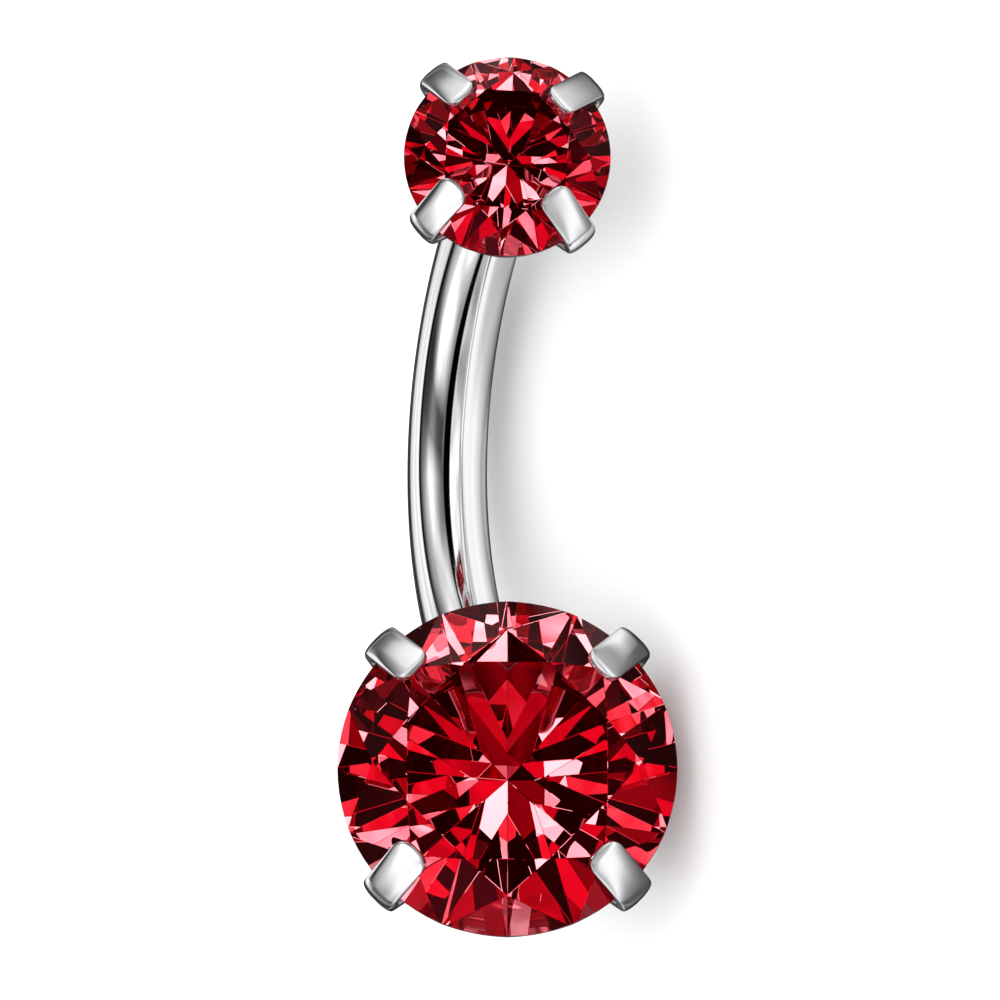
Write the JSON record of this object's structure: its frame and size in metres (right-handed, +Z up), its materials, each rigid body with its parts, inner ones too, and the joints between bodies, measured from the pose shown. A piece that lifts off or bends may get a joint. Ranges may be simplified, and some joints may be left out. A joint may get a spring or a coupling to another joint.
{
  "type": "navel ring",
  "caption": "Curved barbell navel ring: a bent steel bar with a small round brilliant in a screw-on claw head on top and a larger one in a soldered claw head below",
  "frame": {"origin": "on the floor under the middle of the piece's box, as the piece lies on its side at rest", "axes": "+X runs the long way from the large head towards the small head, +Z is up, and the stones face towards -Y and upwards"},
  "size_m": [0.017, 0.0078, 0.0059],
  "materials": {
    "steel": "mirror-polished surgical steel",
    "red_stone": "cut and polished, clear deep red"
  },
  "bodies": {
    "root": {"barbell": "steel", "large_stone": "red_stone", "small_setting": "steel", "small_stone": "red_stone"}
  },
  "joints": []
}
